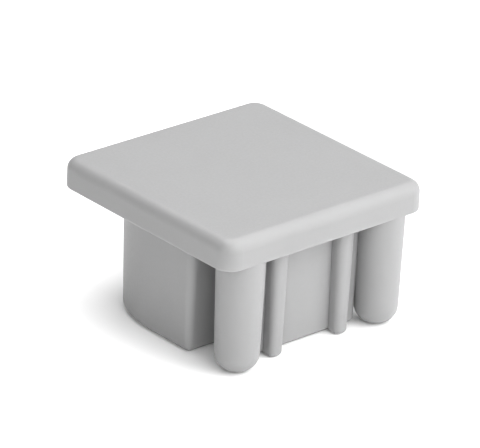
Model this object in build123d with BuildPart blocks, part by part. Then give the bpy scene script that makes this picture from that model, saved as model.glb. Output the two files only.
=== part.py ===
"""End cap for a square framing profile: one moulded piece.

A square cover plate closes the cut end of the profile. Below it hangs the plug that is pushed
into the profile: a thin-walled tub with two ribs on its front wall, and a round post in front
of each shoulder of the tub. Z is up, the plug's foot stands on Z = 0, and -Y is the front.
"""

from build123d import *
from math import radians, tan
import os

# Cover plate
plate_side = 40.0
plate_thickness = 4.8
plate_corner_radius = 2.8
plate_top_radius = 1.8
plate_lip_radius = 0.35
plate_web = 3.0           # what is left of the plate over the tub's hollow

# Plug, as a whole
plug_depth = 18.6
draft_angle = 1.2

# Tub
side_inset = 2.6          # from the plate's edge to the tub's side and back walls
front_inset = 4.6         # from the plate's edge to the tub's front wall
tub_wall = 2.0
tub_back_radius = 15.5
tub_edge_radius = 1.4
tub_lead_in = 0.8

# Shoulders that step the tub in, to leave room for the posts
shoulder_width = 6.0
shoulder_inset = 11.3     # from the plate's front edge

# Round posts, flush with the plate's front face
post_radius = 3.8
post_side_inset = 2.1
post_tip_flat = 0.5       # radius of the small flat at the tip of a post's nose

# Guide ribs
rib_width = 3.2
rib_projection = 2.1
rib_centre = 6.6          # from the middle of the cap
rib_edge_radius = 1.3
rib_root = 1.4            # how far a rib runs into the tub's front wall
rib_nose_radius = 0.8

# Derived from the sizes above
half_side = plate_side / 2
half_width = half_side - side_inset
back = half_side - side_inset
front = front_inset - half_side
shoulder = shoulder_inset - half_side
core_half_width = half_width - shoulder_width
foot_draft = plug_depth * tan(radians(draft_angle))
hollow_height = plug_depth + plate_thickness - plate_web
post_x = half_side - post_side_inset - post_radius
post_y = post_radius - half_side
post_nose_radius = post_radius - foot_draft - post_tip_flat
rib_length = rib_projection + rib_root
rib_y = front - rib_projection + rib_length / 2
down = (0, 0, -1)

with BuildPart() as tub:
    # Solid body of the plug: straight sides, a nearly half-round back and stepped front corners
    with BuildSketch(Plane.XY.offset(plug_depth)) as tub_section:
        with BuildLine():
            flank = Polyline(
                (0, front),
                (core_half_width, front),
                (core_half_width, shoulder),
                (half_width, shoulder),
                (half_width, back - tub_back_radius),
            )
            bend = RadiusArc(flank @ 1, (half_width - tub_back_radius, back), -tub_back_radius)
            Line(bend @ 1, (0, back))
            mirror(about=Plane.YZ)
        make_face()
        fillet(tub_section.vertices().group_by(Axis.Y)[0], tub_edge_radius)
        fillet(tub_section.vertices().group_by(Axis.X)[0].sort_by(Axis.Y)[0], tub_edge_radius)
        fillet(tub_section.vertices().group_by(Axis.X)[-1].sort_by(Axis.Y)[0], tub_edge_radius)
    extrude(amount=plug_depth, dir=down, taper=draft_angle)
    chamfer(tub.edges().group_by(Axis.Z)[0], tub_lead_in)

with BuildPart() as hollow:
    # Space inside the tub, open at the foot and running up into the plate
    with BuildSketch():
        offset(tub_section.sketch, amount=-tub_wall - foot_draft)
    extrude(amount=hollow_height, taper=draft_angle)

with BuildPart() as rib:
    # One guide rib, rounded along its edges and at its foot
    with BuildSketch(Plane((rib_centre, rib_y, plug_depth))):
        RectangleRounded(rib_width, rib_length, rib_edge_radius)
    extrude(amount=plug_depth, dir=down, taper=draft_angle)
    fillet(rib.edges().group_by(Axis.Z)[0], rib_nose_radius)

with BuildPart() as post:
    # One round post with a bullet nose, its head let into the plate
    with BuildSketch(Plane((post_x, post_y, plug_depth))) as post_section:
        Circle(post_radius)
    extrude(amount=plug_depth, dir=down, taper=draft_angle)
    fillet(post.edges().group_by(Axis.Z)[0], post_nose_radius)
    extrude(post_section.sketch, amount=plate_lip_radius)

with BuildPart() as end_cap:
    # Cover plate with soft top edges and corners
    with BuildSketch(Plane.XY.offset(plug_depth)):
        RectangleRounded(plate_side, plate_side, plate_corner_radius)
    extrude(amount=plate_thickness)
    fillet(end_cap.edges().group_by(Axis.Z)[-1], plate_top_radius)
    fillet(end_cap.edges().group_by(Axis.Z)[0], plate_lip_radius)

    # Plug: the tub with its ribs, hollowed from below, and the two posts
    add(tub.part)
    add(rib.part)
    mirror(rib.part, about=Plane.YZ)
    add(hollow.part, mode=Mode.SUBTRACT)
    add(post.part)
    mirror(post.part, about=Plane.YZ)

os.makedirs("parts", exist_ok=True)
end_cap.part.label = "end_cap"
export_step(end_cap.part, "parts/end_cap.step")
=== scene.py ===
"""Looks for the square profile end cap: its moulded plastic, a pale floor and soft studio light."""

import math

import bpy
from mathutils import Matrix, Vector


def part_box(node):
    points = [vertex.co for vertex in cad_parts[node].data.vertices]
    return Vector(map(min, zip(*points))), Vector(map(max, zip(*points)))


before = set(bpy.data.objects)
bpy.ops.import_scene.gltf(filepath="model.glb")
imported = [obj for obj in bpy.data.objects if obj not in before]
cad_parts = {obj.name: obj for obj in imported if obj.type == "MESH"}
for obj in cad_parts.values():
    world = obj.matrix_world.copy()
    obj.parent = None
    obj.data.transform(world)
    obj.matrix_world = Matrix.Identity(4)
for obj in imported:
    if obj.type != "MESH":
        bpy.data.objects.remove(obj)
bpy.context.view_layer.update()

# End cap
# The whole cap is one moulding in grey plastic. A fine grain from the mould's surface breaks up
# its sheen, over slow swells and a drift of a few percent in colour left by the melt's flow.
end_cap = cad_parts["end_cap"]
dark_grey = (0.215, 0.215, 0.216, 1)
light_grey = (0.232, 0.232, 0.233, 1)
plastic_ior = 1.49
glow_depth = 0.0018
flow_per_metre = 90.0
swell_depth = 0.0003
grain_per_metre = 2600.0
grain_depth = 0.00003
low_roughness = 0.44
high_roughness = 0.56

plastic = bpy.data.materials.new("grey_plastic")
plastic.use_nodes = True
nodes = plastic.node_tree.nodes
links = plastic.node_tree.links
shader = nodes["Principled BSDF"]
shader.inputs["IOR"].default_value = plastic_ior
shader.inputs["Subsurface Weight"].default_value = 0.6
shader.inputs["Subsurface Radius"].default_value = (1.0, 1.0, 1.0)
shader.inputs["Subsurface Scale"].default_value = glow_depth

place = nodes.new("ShaderNodeTexCoord")

flow = nodes.new("ShaderNodeTexNoise")
flow.inputs["Scale"].default_value = flow_per_metre
flow.inputs["Detail"].default_value = 3.0
flow.inputs["Distortion"].default_value = 0.6
links.new(place.outputs["Object"], flow.inputs["Vector"])

# a Mix node's colours are its inputs 6 and 7, and its mixed colour is output 2
tint = nodes.new("ShaderNodeMix")
tint.data_type = "RGBA"
tint.inputs[6].default_value = dark_grey
tint.inputs[7].default_value = light_grey
links.new(flow.outputs["Fac"], tint.inputs[0])
links.new(tint.outputs[2], shader.inputs["Base Color"])

grain = nodes.new("ShaderNodeTexNoise")
grain.inputs["Scale"].default_value = grain_per_metre
grain.inputs["Detail"].default_value = 4.0
grain.inputs["Roughness"].default_value = 0.6
links.new(place.outputs["Object"], grain.inputs["Vector"])

sheen = nodes.new("ShaderNodeMapRange")
sheen.inputs["From Min"].default_value = 0.3
sheen.inputs["From Max"].default_value = 0.7
sheen.inputs["To Min"].default_value = low_roughness
sheen.inputs["To Max"].default_value = high_roughness
links.new(grain.outputs["Fac"], sheen.inputs["Value"])
links.new(sheen.outputs["Result"], shader.inputs["Roughness"])

relief = nodes.new("ShaderNodeBump")
relief.inputs["Strength"].default_value = 0.16
relief.inputs["Distance"].default_value = grain_depth
links.new(grain.outputs["Fac"], relief.inputs["Height"])

swell = nodes.new("ShaderNodeBump")
swell.inputs["Strength"].default_value = 0.10
swell.inputs["Distance"].default_value = swell_depth
links.new(flow.outputs["Fac"], swell.inputs["Height"])
links.new(relief.outputs["Normal"], swell.inputs["Normal"])
links.new(swell.outputs["Normal"], shader.inputs["Normal"])

for slot in end_cap.material_slots:
    slot.material = plastic

# Floor
# A sheet of white card, large enough to fill every view. Its underside lets light and sight
# through, so that the cap's hollow foot can be looked at from below.
low, high = (Vector(corner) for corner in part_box("end_cap"))
side = high.x - low.x
card_side = side * 200
card_gap = 0.00002
bpy.ops.mesh.primitive_plane_add(size=card_side, location=(0, 0, low.z - card_gap))
floor = bpy.context.object
floor.name = "floor"

card = bpy.data.materials.new("white_card")
card.use_nodes = True
card_nodes = card.node_tree.nodes
card_links = card.node_tree.links
card_shader = card_nodes["Principled BSDF"]
card_shader.inputs["Base Color"].default_value = (0.88, 0.88, 0.88, 1)
card_shader.inputs["Roughness"].default_value = 0.9
card_shader.inputs["Specular IOR Level"].default_value = 0.1

facing = card_nodes.new("ShaderNodeNewGeometry")
clear = card_nodes.new("ShaderNodeBsdfTransparent")
one_sided = card_nodes.new("ShaderNodeMixShader")
card_links.new(facing.outputs["Backfacing"], one_sided.inputs[0])
card_links.new(card_shader.outputs["BSDF"], one_sided.inputs[1])
card_links.new(clear.outputs["BSDF"], one_sided.inputs[2])
card_links.new(one_sided.outputs["Shader"], card_nodes["Material Output"].inputs["Surface"])
floor.data.materials.append(card)

# Light
# Four large soft boxes face the middle of the cap from one distance: the key at the front right,
# one in front, the fill at the front left and one overhead. All round them is a dim white surround.
cap_middle = Vector((0, 0, low.z + (high.z - low.z) / 2))
box_distance = side * 14
broad_box = side * 15
small_box = side * 14
surround_strength = 0.34


def soft_box(name, direction, size, power):
    """A square soft box that faces the middle of the cap from a direction."""
    light = bpy.data.lights.new(name, "AREA")
    light.shape = "SQUARE"
    light.size = size
    light.energy = power
    lamp = bpy.data.objects.new(name, light)
    bpy.context.collection.objects.link(lamp)
    way = Vector(direction).normalized()
    lamp.location = cap_middle + way * box_distance
    lamp.rotation_euler = way.to_track_quat("Z", "Y").to_euler()


soft_box("key", (0.75, -0.9, 0.8), broad_box, power=3.2)
soft_box("front", (0.2, -1.0, 0.8), broad_box, power=2.2)
soft_box("fill", (-0.7, -0.9, 0.5), small_box, power=2.5)
soft_box("overhead", (0.2, 0.2, 1.0), small_box, power=4.3)

world = bpy.data.worlds.new("surround")
bpy.context.scene.world = world
world.use_nodes = True
background = world.node_tree.nodes["Background"]
background.inputs["Color"].default_value = (1, 1, 1, 1)
background.inputs["Strength"].default_value = surround_strength

# Camera
# A long lens looks down at the cap from the front left, and leans a little to its own left.
# It stands off by a number of cap sides, and aims above the cap's middle and a little nearer.
turn = math.radians(41.58)
lift = math.radians(24.96)
lean = math.radians(2.54)
aim = Vector((-0.062 * side, -0.063 * side, 0.392 * side))
towards = Vector((
    -math.sin(turn) * math.cos(lift),
    -math.cos(turn) * math.cos(lift),
    math.sin(lift),
))
sides_away = 16.66
lens_length = 326.8

camera_data = bpy.data.cameras.new("camera")
camera_data.sensor_width = 36.0
camera_data.lens = lens_length
camera = bpy.data.objects.new("camera", camera_data)
bpy.context.collection.objects.link(camera)
stand = Matrix.Translation(aim + towards * side * sides_away)
upright = towards.to_track_quat("Z", "Y").to_matrix().to_4x4()
camera.matrix_world = stand @ upright @ Matrix.Rotation(lean, 4, "Z")
bpy.context.scene.camera = camera
bpy.context.scene.view_settings.view_transform = "Standard"
